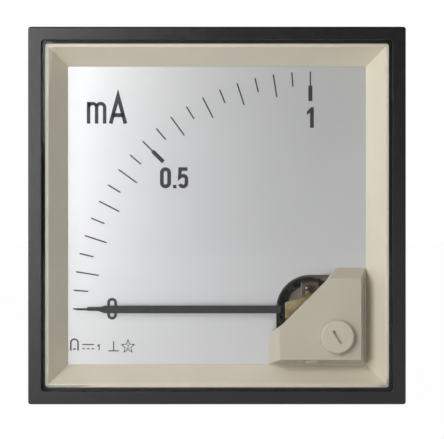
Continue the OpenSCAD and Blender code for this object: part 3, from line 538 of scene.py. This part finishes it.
def moving_coil_symbol(ink):
    """An arch, which is the magnet, with a short dash in its mouth."""
    x, foot, spring_z, r = -37.25, -35.3, -33.25, 0.95
    ink.ribbon([(x - r, foot)] + arc(x, spring_z, r, 180, 0, 10) + [(x + r, foot)], 0.42)
    ink.bar(x - 0.35, foot + 0.2, x + 0.35, foot + 0.6)


def direct_current_symbol(ink):
    """A full line over three dashes."""
    left, full_z, dash_z, thick = -35.2, -33.85, -34.95, 0.3
    ink.bar(left, full_z, left + 3.1, full_z + thick)
    for i in range(3):
        x = left + 1.2 * i
        ink.bar(x, dash_z, x + 0.7, dash_z + thick)


def upright_symbol(ink):
    """A stem on a foot, for upright mounting."""
    x, foot, thick = -27.0, -35.5, 0.3
    ink.bar(x - thick / 2, foot + 0.1, x + thick / 2, foot + 2.7)
    ink.bar(x - 1.4, foot, x + 1.4, foot + thick)


def test_voltage_symbol(ink):
    """A star with a figure 2 inside."""
    x, z = -23.25, -34.25
    ink.ribbon(star_points(x, z, 1.75, 0.78), 0.22, closed=True)
    figure = [
        (x - 0.25, z + 0.30),
        (x, z + 0.47),
        (x + 0.23, z + 0.30),
        (x + 0.20, z + 0.05),
        (x - 0.25, z - 0.50),
        (x + 0.27, z - 0.50),
    ]
    ink.ribbon(figure, 0.16)


def symbols():
    ink = Print(INK_DEPTHS)
    moving_coil_symbol(ink)
    direct_current_symbol(ink)
    one_digit(ink, -30.65, -35.2, -33.6, 0.3, 0.35, (0.05, 0.4, 0.7, 0.45))
    upright_symbol(ink)
    test_voltage_symbol(ink)
    ink.finish("dial_symbols", INK_GREY)


scale_marks()
numerals()
unit_letters()
symbols()


# ---- threads on the terminals ----

studs_low, studs_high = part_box("terminal_studs")
STUDS_X = (studs_low[0] + studs_high[0]) / 2 / MM
STUDS_Z = (studs_low[2] + studs_high[2]) / 2 / MM
# The box ends at the corners of the studs' hexagonal heads
HEAD_HALF_FLATS = 3.5
STUD_X = studs_high[0] / MM - HEAD_HALF_FLATS / math.cos(math.radians(30))
THREAD_PITCH = 0.7
THREAD_ROOT = 1.99
THREAD_CREST = 2.09
THREAD_HALF_W = 0.22
THREAD_STEPS = 32


def thread(x, z, start, stop, verts, faces):
    """Adds one screw thread along Y, from start to stop."""
    first = len(verts)
    count = int((stop - start) / THREAD_PITCH * THREAD_STEPS)
    ridge = ((THREAD_ROOT, -THREAD_HALF_W), (THREAD_CREST, 0.0), (THREAD_ROOT, THREAD_HALF_W))
    for i in range(count + 1):
        a = 2 * math.pi * i / THREAD_STEPS
        y = start + THREAD_PITCH * i / THREAD_STEPS
        for r, dy in ridge:
            verts.append(((x + r * math.cos(a)) * MM, (y + dy) * MM, (z + r * math.sin(a)) * MM))
    for i in range(count):
        a = first + 3 * i
        faces += [[a, a + 3, a + 4, a + 1], [a + 1, a + 4, a + 5, a + 2], [a + 2, a + 5, a + 3, a]]
    end = first + 3 * count
    faces += [[first, first + 1, first + 2], [end + 2, end + 1, end]]


def stud_threads():
    """The threads on the studs' free ends, clear of the nuts and of the chamfer."""
    end = studs_high[1] / MM
    verts = []
    faces = []
    for x in (2 * STUDS_X - STUD_X, STUD_X):
        thread(x, STUDS_Z, end - 4.9, end - 0.45, verts, faces)
    add_piece("terminal_threads", verts, faces, MATERIALS["nickel_plate"], BODY)


stud_threads()


# ---- polarity signs beside the terminals ----

SIGN_X = 15.0
SIGN_Z = 6.0
SIGN_ARM = 2.0
SIGN_HALF_STROKE = 0.4
SIGN_HEIGHT = 0.4
SIGN_SUNK = 0.05


def polarity_signs():
    """A plus and a minus raised on the back, under their studs."""
    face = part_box("terminal_washers")[0][1] / MM
    signs = Print((face - SIGN_SUNK, face + SIGN_HEIGHT))
    a, h = SIGN_ARM, SIGN_HALF_STROKE
    cross = [
        (-a, -h), (-h, -h), (-h, -a), (h, -a), (h, -h), (a, -h),
        (a, h), (h, h), (h, a), (-h, a), (-h, h), (-a, h),
    ]
    signs.polygon([(STUDS_X - SIGN_X + x, SIGN_Z + z) for x, z in cross])
    minus_x = STUDS_X + SIGN_X
    signs.bar(minus_x - a, SIGN_Z - h, minus_x + a, SIGN_Z + h)
    signs.finish("polarity_signs", MATERIALS["black_moulding"])


polarity_signs()


# ---- the bright pin in the upper balance weight ----

# Radius of each ring, and its depth against the weight's front face
PIN_RINGS = ((0.34, 0.05), (0.34, -0.08), (0.27, -0.15), (0.14, -0.19))
PIN_STEPS = 24
UPPER_WEIGHT_SIZE = 1.7


def weight_pin():
    """A low dome on the middle of the weight that stands above the staff."""
    corners = [v.co for v in frame["nodes"]["balance_weights"].data.vertices]
    top = max(c.z for c in corners)
    weight = [c for c in corners if c.z > top - UPPER_WEIGHT_SIZE * MM]
    x = (min(c.x for c in weight) + max(c.x for c in weight)) / 2
    z = (min(c.z for c in weight) + max(c.z for c in weight)) / 2
    front = min(c.y for c in weight)
    turn = [2 * math.pi * i / PIN_STEPS for i in range(PIN_STEPS)]
    verts = []
    for r, depth in PIN_RINGS:
        verts += [(x + r * MM * math.cos(a), front + depth * MM, z + r * MM * math.sin(a)) for a in turn]
    faces = []
    for ring in range(len(PIN_RINGS) - 1):
        low = ring * PIN_STEPS
        high = low + PIN_STEPS
        for i in range(PIN_STEPS):
            j = (i + 1) % PIN_STEPS
            faces.append([low + i, low + j, high + j, high + i])
    last = len(verts) - PIN_STEPS
    faces += [list(range(PIN_STEPS)), list(range(last, len(verts)))]
    add_piece("weight_pin", verts, faces, MATERIALS["steel_screws"], MOVING_BODY)


weight_pin()


# ---- floor and backdrop ----

def white_paper(name, own_light):
    """White paper that looks white to the camera and in mirrors, and keeps a shadow's shape."""
    s = Shader(name)
    fibres = s.noise(0.4, 3.0)
    shade = s.mix(s.ramp(fibres, 0.0, 1.0), (0.86, 0.86, 0.86), (0.88, 0.88, 0.88))
    paper = s.principled(shade, 0.9, s.bump(fibres, 0.02), specular=0.0)
    glow = s.add("ShaderNodeEmission")
    glow.inputs["Color"].default_value = WHITE
    glow.inputs["Strength"].default_value = 1.0
    paths = s.add("ShaderNodeLightPath")
    seen = s.math("MAXIMUM", paths.outputs["Is Camera Ray"], paths.outputs["Is Glossy Ray"])
    seen = s.math("MAXIMUM", seen, paths.outputs["Is Transmission Ray"])
    s.blend(s.math("MULTIPLY", seen, own_light), paper, glow)
    return s.mat


def paper_sheet(name, corners, own_light):
    mesh = bpy.data.meshes.new(name)
    mesh.from_pydata(corners, [], [[0, 1, 2, 3]])
    mesh.materials.append(white_paper(name + "_paper", own_light))
    obj = bpy.data.objects.new(name, mesh)
    bpy.context.scene.collection.objects.link(obj)


STAGE_HALF_W = 3.0
FLOOR_FRONT, FLOOR_BACK = -1.5, 3.0
BACKDROP_Y = 2.5
BACKDROP_LOW, BACKDROP_HIGH = -1.0, 3.0

floor_z = cad_low[2]
paper_sheet("floor", [
    (-STAGE_HALF_W, FLOOR_FRONT, floor_z),
    (STAGE_HALF_W, FLOOR_FRONT, floor_z),
    (STAGE_HALF_W, FLOOR_BACK, floor_z),
    (-STAGE_HALF_W, FLOOR_BACK, floor_z),
], 0.985)
paper_sheet("backdrop", [
    (-STAGE_HALF_W, BACKDROP_Y, BACKDROP_LOW),
    (STAGE_HALF_W, BACKDROP_Y, BACKDROP_LOW),
    (STAGE_HALF_W, BACKDROP_Y, BACKDROP_HIGH),
    (-STAGE_HALF_W, BACKDROP_Y, BACKDROP_HIGH),
], 1.0)


# ---- lamps ----

def lamp(name, place, size, power):
    """A rectangular white lamp turned to the middle of the dial."""
    data = bpy.data.lights.new(name, "AREA")
    data.shape = "RECTANGLE"
    data.size, data.size_y = size
    data.energy = power
    obj = bpy.data.objects.new(name, data)
    obj.location = place
    obj.rotation_euler = (-Vector(place)).to_track_quat("-Z", "Y").to_euler()
    bpy.context.scene.collection.objects.link(obj)


lamp("key", (-0.128, -0.210, 0.058), (0.14, 0.22), 0.48)
lamp("front_fill", (0.16, -0.37, -0.08), (0.08, 0.08), 0.10)

world = bpy.data.worlds.new("surroundings")
world.use_nodes = True
surroundings = world.node_tree.nodes["Background"]
surroundings.inputs["Color"].default_value = WHITE
surroundings.inputs["Strength"].default_value = 0.17
bpy.context.scene.world = world
bpy.context.scene.view_settings.view_transform = "Standard"
